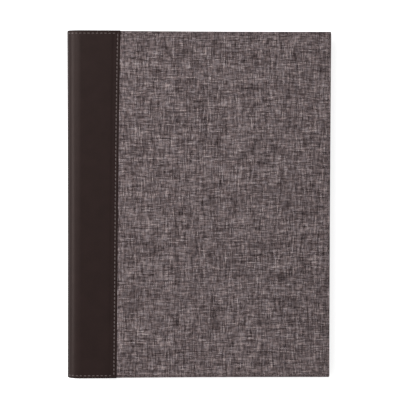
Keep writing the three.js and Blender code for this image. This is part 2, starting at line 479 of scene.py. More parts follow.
@dataclass(frozen=True)
class Leatherette:
    """Dark satin leatherette with a fine pebbled grain and a few soft creases."""

    name: str
    shade: tuple = (36, 25, 24)
    roughness: float = 0.37
    specular: float = 0.12
    gloss_tint: tuple = (1.0, 0.84, 0.78)
    pebbles: float = 1.3
    relief: float = 0.15

    def make(self) -> Material:
        """Builds the material.

        Returns:
            The leatherette's material.
        """
        g = Graph(self.name)
        x, y, z = g.point()
        where = g.vector(x, y, z)
        cells = g.tree.nodes.new("ShaderNodeTexVoronoi")
        cells.inputs["Scale"].default_value = self.pebbles
        g.put(cells.inputs["Vector"], where)
        pebble = g.math("SMOOTH_MIN", cells.outputs["Distance"], 0.5, 0.2)
        soft = g.noise(where, 0.09, 3.0, 0.6)
        fine = g.noise(where, 2.6, 3.0, 0.6)
        cloudy = g.mottle(soft, self.shade, 0.12)
        # Painted shade: the colour is darker in the hollows between the pebbles and a little lighter on
        # their crowns.
        painted_pebble_shade = g.ramp(pebble, [(0.0, (1.06, 1.05, 1.05)), (0.6, grey(0.86))])
        g.colour(g.blend(1.0, cloudy, painted_pebble_shade, "MULTIPLY"))
        g.gloss(g.math("MULTIPLY_ADD", fine, 0.16, self.roughness - 0.08), self.specular, self.gloss_tint)
        height = g.math("MULTIPLY_ADD", fine, 0.35, g.math("MULTIPLY", pebble, -0.5))
        g.bump(height, self.relief * MM, 0.6)
        return g.material


@dataclass(frozen=True)
class PlainWeave:
    """A fine even cloth, such as lining or elastic, with ribs of its own pitch each way."""

    name: str
    shade: tuple
    pitch_x: float = 0.5
    pitch_y: float = 0.5
    relief: float = 0.08
    roughness: float = 0.8

    def make(self) -> Material:
        """Builds the material.

        Returns:
            The cloth's material.
        """
        g = Graph(self.name)
        x, y, z = g.point()
        wave_x = g.math("SINE", g.math("MULTIPLY", x, 2 * math.pi / self.pitch_x))
        wave_y = g.math("SINE", g.math("MULTIPLY", y, 2 * math.pi / self.pitch_y))
        ribs = g.math("MULTIPLY_ADD", g.math("MULTIPLY", wave_x, wave_y), 0.5, 0.5)
        cloth = g.mottle(g.noise(g.vector(x, y, z), 0.35, 3.0), self.shade, 0.2)
        # Painted shade: the cloth's colour is darkened in the hollows of the ribs and lightened on their
        # crowns.
        shade = g.ramp(ribs, [(0.0, grey(0.72)), (1.0, grey(1.15))])
        g.colour(g.blend(1.0, cloth, shade, "MULTIPLY"))
        g.gloss(self.roughness, 0.2)
        g.bump(ribs, self.relief * MM, 0.6)
        return g.material


@dataclass(frozen=True)
class Thread:
    """Sewing thread, with a fine twist."""

    name: str
    shade: tuple
    roughness: float = 0.6
    twist: float = 14.0
    relief: float = 0.08

    def make(self) -> Material:
        """Builds the material.

        Returns:
            The thread's material.
        """
        g = Graph(self.name)
        x, y, z = g.point()
        twist = g.math("SINE", g.math("MULTIPLY", g.math("ADD", g.math("ADD", x, y), z), self.twist))
        own = g.mottle(g.noise(g.vector(x, y, z), 0.7, 2.0), self.shade, 0.25)
        # Painted shade: the thread's colour is darker in the grooves of its twist and lighter on its
        # strands.
        shade = g.ramp(g.math("MULTIPLY_ADD", twist, 0.5, 0.5), [(0.0, grey(0.8)), (1.0, grey(1.1))])
        g.colour(g.blend(1.0, own, shade, "MULTIPLY"))
        g.gloss(self.roughness, 0.25)
        g.bump(twist, self.relief * MM, 0.5)
        return g.material


@dataclass(frozen=True)
class CardStock:
    """Board, card or tape: flat stock with fibres and a little mottling."""

    name: str
    shade: tuple
    fibre: float = 0.12
    roughness: float = 0.85
    relief: float = 0.05

    def make(self) -> Material:
        """Builds the material.

        Returns:
            The stock's material.
        """
        g = Graph(self.name)
        x, y, z = g.point()
        fibres = g.noise(g.vector(x, g.math("MULTIPLY", y, 0.3), z), 1.8, 4.0, 0.65)
        g.colour(g.mottle(fibres, self.shade, self.fibre))
        g.gloss(self.roughness, 0.3)
        g.bump(fibres, self.relief * MM, 0.4)
        return g.material


@dataclass(frozen=True)
class RuledPaper:
    """A stack of white sheets, with pale ruled lines on the top one and the leaves' edges at its sides,
    where painted shade darkens the gaps between the leaves.
    """

    name: str = "ruled_paper"
    top: float = 0.0
    first_line: float = 96.0
    last_line: float = -133.0
    spacing: float = 7.1
    width: float = 0.28
    leaf: float = 0.2
    relief: float = 0.08

    def make(self) -> Material:
        """Builds the material.

        Returns:
            The paper's material.
        """
        g = Graph(self.name)
        x, y, z = g.point()
        from_first = g.math("SUBTRACT", self.first_line, y)
        step = g.math("MODULO", g.math("ADD", from_first, self.spacing * 20), self.spacing)
        line = g.math("LESS_THAN", step, self.width)
        for limit, kind in ((self.first_line, "LESS_THAN"), (self.last_line, "GREATER_THAN")):
            line = g.math("MULTIPLY", line, g.math(kind, y, limit))
        on_top = g.math("GREATER_THAN", z, self.top / MM - 0.02)
        line = g.math("MULTIPLY", line, on_top)
        leaf = g.math("SINE", g.math("MULTIPLY", z, 2 * math.pi / self.leaf))
        grain = g.noise(g.vector(x, y, g.math("MULTIPLY", z, 12.0)), 0.5, 3.0)
        sheet = g.ramp(grain, [(0.3, srgb(238, 236, 229)), (0.7, srgb(247, 245, 240))])
        # Painted shade: on the side faces the colour is darkened in stripes at the leaf pitch, for the gaps
        # between the leaves.
        side = g.math("MULTIPLY", g.math("SUBTRACT", 1.0, on_top), g.math("MULTIPLY_ADD", leaf, 0.5, 0.5))
        paper = g.blend(g.math("MULTIPLY", side, 0.5), sheet, srgb(196, 192, 183))
        g.colour(g.blend(line, paper, srgb(168, 186, 205)))
        g.gloss(0.75, 0.3)
        g.bump(g.math("MULTIPLY", side, leaf), self.relief * MM, 0.6)
        return g.material


class Finishes:
    """Every material, made once."""

    def __init__(self) -> None:
        """Makes the materials."""
        self.weave = SlubWeave().make()
        self.leather = Leatherette("spine_leatherette").make()
        self.pocket = Leatherette("card_pocket_leatherette").make()
        self.lining = PlainWeave("lining_cloth", (58, 49, 50)).make()
        self.elastic = PlainWeave("ribbed_elastic", (36, 32, 32), 3.0, 1.1, 0.2).make()
        self.seam_thread = Thread("seam_thread", (98, 87, 85)).make()
        self.edge_thread = Thread("edge_thread", (108, 96, 96)).make()
        # Painted shade: a dark thread colour for the beads that stand for the shade in the needle holes.
        self.needle_hole_shade = Thread("needle_hole_shade", (44, 34, 34), 0.9).make()
        self.board = CardStock("binders_board", (138, 127, 112)).make()
        self.backing = CardStock("backing_card", (151, 132, 104)).make()
        self.tape = CardStock("binding_tape", (45, 44, 48), 0.25, 0.6).make()
        self.paper = RuledPaper(top=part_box("pad_sheets")[1].z).make()


def grown(name: str, bm: bmesh.types.BMesh, material: Material) -> bpy.types.Object:
    """Turns a bmesh into an object of the scene, smooth except at its sharp edges.

    Args:
        name: the piece's name.
        bm: its mesh, which is freed.
        material: its finish.

    Returns:
        The object.
    """
    mesh = bpy.data.meshes.new(name)
    bm.to_mesh(mesh)
    bm.free()
    mesh.polygons.foreach_set("use_smooth", [True] * len(mesh.polygons))
    mesh.set_sharp_from_angle(angle=SHARP_ANGLE)
    obj = bpy.data.objects.new(name, mesh)
    bpy.context.scene.collection.objects.link(obj)
    mesh.materials.append(material)
    return obj


def settle(bm: bmesh.types.BMesh, cover: Cover) -> None:
    """Moves a cover's piece from outer face up at height 0 to its place on that cover.

    Args:
        bm: the mesh.
        cover: the cover that it belongs to.
    """
    if cover is Cover.FRONT:
        bmesh.ops.translate(bm, vec=(0, 0, AT.top), verts=bm.verts)
    else:
        bmesh.ops.scale(bm, vec=(1, 1, -1), verts=bm.verts)
        bmesh.ops.reverse_faces(bm, faces=bm.faces)


def placed(name: str, bm: bmesh.types.BMesh, cover: Cover, material: Material) -> bpy.types.Object:
    """Sets a mesh in its place on a cover and turns it into an object.

    Args:
        name: the piece's name.
        bm: its mesh, outer face up at height 0, which is freed.
        cover: the cover that it belongs to.
        material: its finish.

    Returns:
        The object.
    """
    settle(bm, cover)
    return grown(name, bm, material)


def thicken(bm: bmesh.types.BMesh, thickness: float) -> None:
    """Gives a surface a wall on the side that it faces away from.

    Args:
        bm: the mesh, whose faces point out.
        thickness: the wall.
    """
    bmesh.ops.solidify(bm, geom=bm.faces, thickness=thickness)


def gridded(columns: int, rows: int, place: Callable[[int, int], Vector], up: Vector) -> bmesh.types.BMesh:
    """A grid whose vertices are moved to where a rule says.

    Args:
        columns: vertices across.
        rows: vertices along.
        place: gives the place of the vertex in a column and row.
        up: the way that the middle of the surface should face.

    Returns:
        The mesh.
    """
    bm = bmesh.new()
    bmesh.ops.create_grid(bm, x_segments=columns - 1, y_segments=rows - 1, size=1.0)
    for v in bm.verts:
        i = round((v.co.x + 1) / 2 * (columns - 1))
        j = round((v.co.y + 1) / 2 * (rows - 1))
        v.co = place(i, j)
    bm.normal_update()
    middle = max(bm.faces, key=lambda f: f.calc_area())
    if middle.normal.dot(up) < 0:
        bmesh.ops.reverse_faces(bm, faces=bm.faces)
    bm.normal_update()
    return bm


def rectangle(x0: float, x1: float, y0: float, y1: float) -> list[Point]:
    """The corners of a rectangle, in order."""
    return [(x0, y0), (x1, y0), (x1, y1), (x0, y1)]


def round_off(bm: bmesh.types.BMesh, edges: list, radius: float, segments: int) -> None:
    """Rounds some edges of a mesh.

    Args:
        bm: the mesh.
        edges: the edges.
        radius: the round's size.
        segments: the faces across it.
    """
    bmesh.ops.bevel(
        bm,
        geom=edges,
        offset=radius,
        segments=segments,
        profile=0.5,
        material=-1,
        affect="EDGES",
        clamp_overlap=True,
    )


def plate(outline: Sequence[Point], z0: float, z1: float, edge: float) -> bmesh.types.BMesh:
    """A flat plate with rounded edges.

    Args:
        outline: its corners, in order.
        z0: its lower face.
        z1: its upper face.
        edge: the radius of its edges.

    Returns:
        The mesh.
    """
    bm = bmesh.new()
    base = bm.faces.new([bm.verts.new((x, y, z0)) for x, y in outline])
    grown_up = bmesh.ops.extrude_face_region(bm, geom=[base])
    raised = [v for v in grown_up["geom"] if isinstance(v, bmesh.types.BMVert)]
    bmesh.ops.translate(bm, vec=(0, 0, z1 - z0), verts=raised)
    bmesh.ops.recalc_face_normals(bm, faces=bm.faces)
    rims = [e for e in bm.edges if abs(e.verts[0].co.z - e.verts[1].co.z) < 1e-9]
    round_off(bm, rims, edge, 3)
    return bm


def add(bm: bmesh.types.BMesh, other: bmesh.types.BMesh, place: Optional[Matrix] = None) -> None:
    """Adds a copy of one mesh to another.

    Args:
        bm: the mesh that grows.
        other: the mesh that is copied.
        place: where the copy goes.
    """
    part = bpy.data.meshes.new("part")
    other.to_mesh(part)
    if place is not None:
        part.transform(place)
    bm.from_mesh(part)
    bpy.data.meshes.remove(part)


def absorb(bm: bmesh.types.BMesh, other: bmesh.types.BMesh) -> None:
    """Moves one mesh into another, and frees it."""
    add(bm, other)
    other.free()


@dataclass(frozen=True)
class Stitch:
    """The size of one stitch of a row."""

    pitch: float
    length: float
    width: float
    height: float
    slant: float = 0.0
    sink: float = 0.0


def stitches(frames: Sequence[tuple[Vector, Vector, Vector]], stitch: Stitch) -> bmesh.types.BMesh:
    """A row of stitches, each a small rounded bead of thread.

    Args:
        frames: for each stitch its place, the way it runs and the way it faces.
        stitch: its size.

    Returns:
        The mesh.
    """
    size = Matrix.Diagonal((stitch.length / 2, stitch.width / 2, stitch.height / 2, 1.0))
    bead = bmesh.new()
    bmesh.ops.create_uvsphere(bead, u_segments=8, v_segments=6, radius=1.0, matrix=size)
    bm = bmesh.new()
    for place, along, facing in frames:
        along = Matrix.Rotation(stitch.slant, 3, facing) @ along.normalized()
        side = facing.cross(along).normalized()
        turn = Matrix((along, side, facing)).transposed().to_4x4()
        add(bm, bead, Matrix.Translation(place - facing * stitch.sink) @ turn)
    bead.free()
    return bm


def along_path(points: Sequence[Vector], facings: Sequence[Vector], pitch: float) -> list:
    """Frames at an even pitch along a path, for stitches.

    Args:
        points: the path.
        facings: the way out of the surface at each of its points.
        pitch: the distance between frames.

    Returns:
        The place, direction and facing of each frame.
    """
    lengths = [(b - a).length for a, b in zip(points, points[1:])]
    count = max(1, round(sum(lengths) / pitch))
    step = sum(lengths) / count
    frames, k, passed = [], 0, 0.0
    for n in range(count):
        want = (n + 0.5) * step
        while k < len(lengths) - 1 and passed + lengths[k] < want:
            passed += lengths[k]
            k += 1
        t = (want - passed) / lengths[k]
        facing = facings[k].lerp(facings[k + 1], t).normalized()
        frames.append((points[k].lerp(points[k + 1], t), points[k + 1] - points[k], facing))
    return frames


def sewn(points: Sequence[Vector], facings: Sequence[Vector], stitch: Stitch) -> bmesh.types.BMesh:
    """A row of stitches at their own pitch along a path."""
    return stitches(along_path(points, facings, stitch.pitch), stitch)


SEAM_STITCH = Stitch(3.64 * MM, 2.7 * MM, 1.15 * MM, 0.7 * MM, 0.06)
HEM_STITCH = Stitch(3.9 * MM, 2.8 * MM, 1.0 * MM, 0.56 * MM, 0.04, 0.1 * MM)
EDGE_STITCH = Stitch(4.2 * MM, 3.2 * MM, 0.9 * MM, 0.5 * MM, 0.0)
# Painted shade: the size of the dark beads that stand for the shade in the needle holes.
NEEDLE_HOLE_SHADE = Stitch(4.2 * MM, 0.9 * MM, 1.0 * MM, 0.3 * MM, 0.0)
POCKET_STITCH = Stitch(3.4 * MM, 2.5 * MM, 0.7 * MM, 0.4 * MM, 0.0)


@dataclass
class LeatherWrap:
    """Half of the leatherette strip: a cover's wing and its half of the spine, hemmed at head and tail.

    The wing is thin along its sewn edge, as far as the lap, and rises a little past it. The waist is
    how far the spine is drawn in at the middle of its length.
    """

    cover: Cover
    finishes: Finishes
    wall: float = 0.7 * MM
    corner: float = 1.2 * MM
    hem_depth: float = 1.7 * MM
    seam_inset: float = 2.4 * MM
    hem_inset: float = 2.7 * MM
    lap: float = 5.6 * MM
    lap_slope: float = 2.3 * MM
    lap_drop: float = 0.2 * MM
    roll: float = 0.2 * MM
    waist: float = 0.28 * MM
    groove: float = 0.16 * MM
    groove_width: float = 0.5 * MM
    roll_width: float = 0.75 * MM
    fold_wall: float = 0.6 * MM
    fold_overlap: float = 0.6 * MM
    fold_short: float = 0.8 * MM
    fold_gap: float = 0.2 * MM
    fold_edge: float = 0.12 * MM
    arc_steps: int = 28
    turn_steps: int = 5
    fold_steps: int = 3
    seam_steps: int = 60
    arc_fade: float = 1.6

    def __post_init__(self) -> None:
        """Works out the grid's lines."""
        edge = (0.0, 0.12, 0.35, 0.7, 1.2, 1.7, 2.05, 2.4, 2.75, 3.2, 4.0, 5.0)
        near = edge + (5.6, 6.1, 6.6, 7.1, 7.6, 8.3, 10.0, 14.0, 20.0, 27.0)
        self.wing = [v * MM for v in near]
        self.columns = len(self.wing) + 1 + self.arc_steps
        flat = AT.leather_y - self.corner
        fine = [flat - v * MM for v in (0.0, 0.6, 1.0, 1.25, 1.5, 1.75, 2.1, 2.8, 4.0, 7.0, 12.0)]
        coarse = [fine[-1] * (1 - k / 22) for k in range(1, 22)]
        half = fine + coarse
        self.flat_rows = [-v for v in half] + [0.0] + half[::-1]
        self.edge_rows = 2 * self.turn_steps + self.fold_steps

    def outer(self, column: int, y: float, depth: float) -> tuple[Vector, Vector]:
        """A point under the strip's outer surface, and the way out of it.

        Args:
            column: the grid's column, from the sewn edge round to the middle of the spine.
            y: the place along the spine.
            depth: how deep the point lies.

        Returns:
            The point and the outward direction.
        """
        seam = AT.seam_x + AT.flare(y, self.cover)
        if column < len(self.wing):
            inset = self.wing[column]
            x = seam - inset
            return Vector((x, y, -depth - self.sunk(inset, y))), OUT
        turn = (column - len(self.wing)) / self.arc_steps * math.pi / 2
        sunk = self.sunk(self.wing[-1], y) * (1 - smooth(turn * self.arc_fade))
        drawn = self.waist * (1 - (y / AT.leather_y) ** 2) * smooth(turn)
        bulge, half = AT.bulge - depth - drawn, AT.half - depth - sunk
        point = Vector((AT.board_x - bulge * math.sin(turn), y, half * math.cos(turn) - AT.half))
        out = Vector((-math.sin(turn) / max(bulge, MM), 0, math.cos(turn) / max(half, MM))).normalized()
        return point, out

    def sunk(self, inset: float, y: float) -> float:
        """How far the surface lies below its flat, at the rolled edge, over the lap and along the stitches.

        Args:
            inset: the distance from the sewn edge.
            y: the place along the spine.

        Returns:
            The depth.
        """
        roll = self.roll * (1 - smooth(inset / self.roll_width))
        lap = self.lap_drop * (1 - smooth((inset - self.lap) / self.lap_slope))
        seam = furrow(inset - self.seam_inset, self.groove, self.groove_width)
        hem = furrow(AT.leather_y - abs(y) - self.hem_inset, self.groove, self.groove_width)
        return roll + lap + seam + (hem if inset > self.seam_inset else 0.0)

    def rim(self, column: int, step: int, end: int) -> Vector:
        """A point on the folded head or tail: round the edge, down the wall and back along the turn-in.

        Args:
            column: the grid's column.
            step: 1 to edge_rows, from the outer face inwards.
            end: 1 at the head and -1 at the tail.

        Returns:
            The point.
        """
        over = smooth((column - len(self.wing) + 1) / 3)
        depth = AT.lip_depth * (1 - over) + self.hem_depth * over
        r = min(self.corner, depth / 2)
        flat = AT.leather_y - self.corner
        quarter = self.turn_steps
        if step <= quarter:
            turn = step / quarter * math.pi / 2
            y, d = flat + self.corner * math.sin(turn), r * (1 - math.cos(turn))
        elif step <= 2 * quarter:
            turn = (step - quarter) / quarter * math.pi / 2
            y, d = flat + self.corner * math.cos(turn), depth - r + r * math.sin(turn)
        else:
            y, d = flat - (AT.turn_in - self.corner) * (step - 2 * quarter) / self.fold_steps, depth
        return self.outer(column, end * flat, d)[0] + Vector((0, end * (y - flat), 0))

    def build(self) -> bpy.types.Object:
        """Builds the strip.

        Returns:
            The piece.
        """
        rows = len(self.flat_rows) + 2 * self.edge_rows

        def place(i: int, j: int) -> Vector:
            """The vertex in a column and row.

            Args:
                i: the column.
                j: the row, from the folded tail over the flat to the folded head.

            Returns:
                The place.
            """
            if j < self.edge_rows:
                return self.rim(i, self.edge_rows - j, -1)
            if j >= rows - self.edge_rows:
                return self.rim(i, j - (rows - self.edge_rows) + 1, 1)
            return self.outer(i, self.flat_rows[j - self.edge_rows], 0.0)[0]

        bm = gridded(self.columns, rows, place, OUT)
        area = sum(f.calc_area() for f in bm.faces)
        thicken(bm, self.wall)
        piece = placed(f"{self.cover.value}_leather_strip", bm, self.cover, self.finishes.leather)
        return piece

    def edge_folds(self) -> bpy.types.Object:
        """The turned-in corners at head and tail, folded over the spine edge of the board.

        Returns:
            The piece.
        """
        bm = bmesh.new()
        for end in (-1, 1):
            near = end * (AT.leather_y - AT.turn_in - self.fold_overlap)
            far = end * (AT.leather_y - self.corner - self.fold_short)
            x1 = AT.board_x - self.fold_gap
            outline = rectangle(x1 - self.fold_wall, x1, min(near, far), max(near, far))
            absorb(bm, plate(outline, LAYER_GAP - AT.lip_depth, -LAYER_GAP - self.wall, self.fold_edge))
        return placed(f"{self.cover.value}_edge_folds", bm, self.cover, self.finishes.leather)

    def seam_row(self) -> bpy.types.Object:
        """The row of light stitches along the sewn edge.

        Returns:
            The piece.
        """
        column = min(range(len(self.wing)), key=lambda k: abs(self.wing[k] - self.seam_inset))
        ends = AT.leather_y - self.hem_inset
        steps = self.seam_steps
        places = [self.outer(column, -ends + 2 * ends * k / steps, 0.0) for k in range(steps + 1)]
        bm = sewn(*zip(*places), SEAM_STITCH)
        return placed(f"{self.cover.value}_seam_stitches", bm, self.cover, self.finishes.seam_thread)

    def hem_rows(self) -> bpy.types.Object:
        """The rows of stitches across the strip at its head and tail, which run round the spine.

        Returns:
            The piece.
        """
        first = next(k for k, v in enumerate(self.wing) if v > self.seam_inset + MM)
        bm = bmesh.new()
        for end in (-1, 1):
            y = end * (AT.leather_y - self.hem_inset)
            places = [self.outer(k, y, 0.0) for k in range(first, self.columns)]
            absorb(bm, sewn(*zip(*places), HEM_STITCH))
        return placed(f"{self.cover.value}_hem_stitches", bm, self.cover, self.finishes.seam_thread)


@dataclass
class HingeBend:
    """Where the soft spine turns from a cover's own motion to the spine's, though no piece is bent there:
    it only bakes a piece's placement into its mesh.

    Each end is given as its distance from the board, out towards the spine, and its depth; neither end is
    used.
    """

    cover: Cover
    near: Point = (4 * MM, 3 * MM)
    far: Point = (12 * MM, 9.45 * MM)

    def apply(self, piece: bpy.types.Object) -> None:
        """Bakes a piece's placement into its mesh; the piece is not bent.

        Args:
            piece: a mesh with no parent.
        """
        self.cover.body
        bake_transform(piece)


@dataclass
class FabricCover:
    """A cover's cloth, folded over the edges of its board, with a sewn row inside its three free edges."""

    cover: Cover
    finishes: Finishes
    corner: float = 1.15 * MM
    wall: float = 0.62 * MM
    inset: float = 2.4 * MM
    groove: float = 0.22 * MM
    groove_width: float = 0.6 * MM
    seam_gap: float = 0.1 * MM
    seam_dip: float = 0.16 * MM
    dip_width: float = 1.6 * MM
    seam_reach: float = 2 * MM
    stitch_depth: float = 0.16 * MM
    waist: float = 0.26 * MM

    def drawn(self, place: Vector) -> Vector:
        """A place on the cover, moved in a little where the sides are drawn in between the corners.

        Args:
            place: the place on a cover with straight sides.

        Returns:
            The place on the real cover.
        """
        middle = (AT.seam_x + AT.fore_x) / 2
        across = (place.x - middle) / (AT.fore_x - middle)
        along = place.y / AT.fabric_y
        x = place.x - self.waist * max(0.0, across) * (1 - along**2)
        y = place.y - self.waist * along * max(0.0, 1 - across**2)
        return Vector((x, y, place.z))

    def cuts(self, x0: float) -> list[tuple[Vector, Vector]]:
        """The planes that cut the cloth finely where it is grooved or drawn in.

        Args:
            x0: the cloth's edge beside the leatherette.

        Returns:
            A place on each plane and its normal.
        """
        x1, y1 = AT.fore_x, AT.fabric_y
        across, along = Vector((1, 0, 0)), Vector((0, 1, 0))
        planes = [(along * (y1 * (k / 8 - 1)), along) for k in range(1, 16)]
        planes += [(across * (x0 + (x1 - x0) * k / 10), across) for k in range(1, 10)]
        planes += [(across * (x0 + inset * MM), across) for inset in (0.5, 1.0, 1.6)]
        for spread in (-0.9, -0.45, 0.0, 0.45, 0.9):
            inset = self.inset + spread * MM
            planes.append((across * (x1 - inset), across))
            planes.append((along * (y1 - inset), along))
            planes.append((along * (inset - y1), along))
        return planes

    def build(self) -> bpy.types.Object:
        """Builds the cloth.

        Returns:
            The piece.
        """
        x0, x1, y1 = AT.seam_x + self.seam_gap, AT.fore_x, AT.fabric_y
        depth = AT.lip_depth - AT.proud
        bm = bmesh.new()
        bmesh.ops.create_cube(bm, size=1.0)
        bmesh.ops.scale(bm, vec=(x1 - x0, 2 * y1, depth), verts=bm.verts)
        bmesh.ops.translate(bm, vec=((x0 + x1) / 2, 0, -AT.proud - depth / 2), verts=bm.verts)
        open_side = min(bm.faces, key=lambda f: f.calc_center_median().x)
        bmesh.ops.delete(bm, geom=[open_side], context="FACES_ONLY")
        folds = [e for e in bm.edges if not e.is_boundary]
        round_off(bm, folds, self.corner, 4)
        inner = min(bm.faces, key=lambda f: f.normal.z * f.calc_area())
        bmesh.ops.inset_region(
            bm, faces=[inner], thickness=AT.turn_in - self.corner, use_boundary=False, use_even_offset=True
        )
        bmesh.ops.delete(bm, geom=[inner], context="FACES")
        for place, normal in self.cuts(x0):
            geometry = bm.verts[:] + bm.edges[:] + bm.faces[:]
            bmesh.ops.bisect_plane(bm, geom=geometry, dist=1e-7, plane_co=place, plane_no=normal)
        for v in bm.verts:
            if abs(v.co.z + AT.proud) < 1e-6:
                near = min(abs(x1 - v.co.x - self.inset), abs(y1 - abs(v.co.y) - self.inset))
                v.co.z -= furrow(near, self.groove, self.groove_width)
                v.co.z -= self.seam_dip * (1 - smooth((v.co.x - x0) / self.dip_width))
            if v.co.x < x0 + self.seam_reach:
                v.co.x += AT.flare(v.co.y, self.cover)
            v.co = self.drawn(v.co)
        bm.normal_update()
        area = sum(f.calc_area() for f in bm.faces)
        thicken(bm, self.wall)
        self.lay_flat(bm)
        piece = placed(f"{self.cover.value}_cloth", bm, self.cover, self.finishes.weave)
        return piece

    def lay_flat(self, bm: bmesh.types.BMesh) -> None:
        """Gives every face its place on the flat cloth, so that the weave follows the folds.

        Args:
            bm: the cloth, outer face up.
        """
        x1, y1, reach = AT.fore_x, AT.fabric_y, AT.lip_depth - AT.proud
        layer = bm.loops.layers.uv.new(CLOTH_MAP)
        bm.normal_update()
        for face in bm.faces:
            middle, normal = face.calc_center_median(), face.normal
            turned_in = middle.z < self.wall + LAYER_GAP - AT.proud - reach and abs(normal.z) > 0.7
            end = math.copysign(1.0, middle.y)
            at_fore = x1 - middle.x < y1 - abs(middle.y) if turned_in else abs(normal.x) > abs(normal.y)
            for loop in face.loops:
                x, y, down = loop.vert.co.x, loop.vert.co.y, -AT.proud - loop.vert.co.z
                if at_fore:
                    place = (2 * x1 + reach - x, y) if turned_in else (x + down, y)
                else:
                    place = (x, end * (2 * y1 + reach) - y) if turned_in else (x, y + end * down)
                loop[layer].uv = place

    def edge_path(self, depth: float) -> tuple[list, list]:
        """The sewn line inside the free edges.

        Args:
            depth: how deep it lies under the cover's outer face.

        Returns:
            Its points and the way out at each.
        """
        x1, y1 = AT.fore_x - self.inset, AT.fabric_y - self.inset
        x0 = AT.seam_x + AT.flare_head + MM
        corners = [Vector((x, y, -depth)) for x, y in rectangle(x0, x1, -y1, y1)]
        points = [a.lerp(b, k / 12) for a, b in zip(corners, corners[1:]) for k in range(12)] + corners[-1:]
        return [self.drawn(p) for p in points], [OUT] * len(points)

    def edge_rows(self) -> list[bpy.types.Object]:
        """The thread of the sewn line, and small dark beads between its stitches, painted shade that stands
        for the needle holes.

        Returns:
            The two pieces.
        """
        points, facings = self.edge_path(AT.proud + self.stitch_depth)
        row = sewn(points, facings, EDGE_STITCH)
        # Painted shade: dark beads between the stitches stand for the shade in the needle holes.
        frames = along_path(points, facings, NEEDLE_HOLE_SHADE.pitch)
        between = [(p + d.normalized() * NEEDLE_HOLE_SHADE.pitch / 2, d, n) for p, d, n in frames[:-1]]
        hole_shades = stitches(between, NEEDLE_HOLE_SHADE)
        side = self.cover.value
        return [
            placed(f"{side}_edge_stitches", row, self.cover, self.finishes.edge_thread),
            placed(f"{side}_needle_hole_shades", hole_shades, self.cover, self.finishes.needle_hole_shade),
        ]


@dataclass
class Lining:
    """A cover's inner cloth and the strip that carries it into the hollow of the spine."""

    cover: Cover
    finishes: Finishes
    inset: float = 1.3 * MM
    overhang: float = 0.5 * MM
    soft_edge: float = 0.2 * MM
    sewn_inset: float = 2.4 * MM
    spine_start: float = 4 * MM
    wall: float = 0.3 * MM
    strip_depth: float = 1.02 * MM
    end_gap: float = 0.4 * MM
    riser: tuple = ((0.6, 3.2), (0.75, 2.2), (1.15, 1.6))
    arc_start: float = 1.8 * MM
    arc_steps: int = 22
    rows: int = 31

    def panel(self) -> bpy.types.Object:
        """The flat panel, from the board's spine edge to just inside the cover's edges.

        Returns:
            The piece.
        """
        x0, x1 = AT.board_x - self.overhang, AT.fore_x - self.inset
        y1 = AT.fabric_y - self.inset
        outline = rectangle(x0, x1, -y1, y1)
        bm = plate(outline, -AT.cover_depth, -AT.lip_depth - LAYER_GAP, self.soft_edge)
        piece = placed(f"{self.cover.value}_lining_panel", bm, self.cover, self.finishes.lining)
        return piece

    def strip(self) -> bpy.types.Object:
        """The strip down the board's spine edge and along the inside of the leatherette.

        Returns:
            The piece.
        """
        bulge, half = AT.bulge - self.strip_depth, AT.half - self.strip_depth
        path = [(-self.overhang - LAYER_GAP, 2 * LAYER_GAP - AT.cover_depth)]
        path += [(-out * MM, -depth * MM) for out, depth in self.riser]
        start = math.asin(self.arc_start / bulge)
        for k in range(self.arc_steps + 1):
            turn = start + (math.pi / 2 - start) * k / self.arc_steps
            path.append((-bulge * math.sin(turn), half * math.cos(turn) - AT.half))
        y1 = AT.leather_y - AT.turn_in - self.end_gap

        def place(i: int, j: int) -> Vector:
            """The vertex at a point of the path, in a row along the spine."""
            x, z = path[i]
            return Vector((AT.board_x + x, y1 * (2 * j / (self.rows - 1) - 1), z))

        bm = gridded(len(path), self.rows, place, Vector((1, 0, -1)))
        area = sum(f.calc_area() for f in bm.faces)
        thicken(bm, self.wall)
        piece = placed(f"{self.cover.value}_spine_lining", bm, self.cover, self.finishes.lining)
        return piece

    def edge_row(self) -> bpy.types.Object:
        """The inside of the cover's sewn line, where its thread shows on the lining.

        Returns:
            The piece.
        """
        x0, x1 = AT.board_x + self.spine_start, AT.fore_x - self.sewn_inset
        y1 = AT.fabric_y - self.sewn_inset
        points = [Vector((x, y, -AT.cover_depth)) for x, y in rectangle(x0, x1, -y1, y1)]
        bm = sewn(points, [IN] * 4, EDGE_STITCH)
        return placed(f"{self.cover.value}_lining_stitches", bm, self.cover, self.finishes.edge_thread)


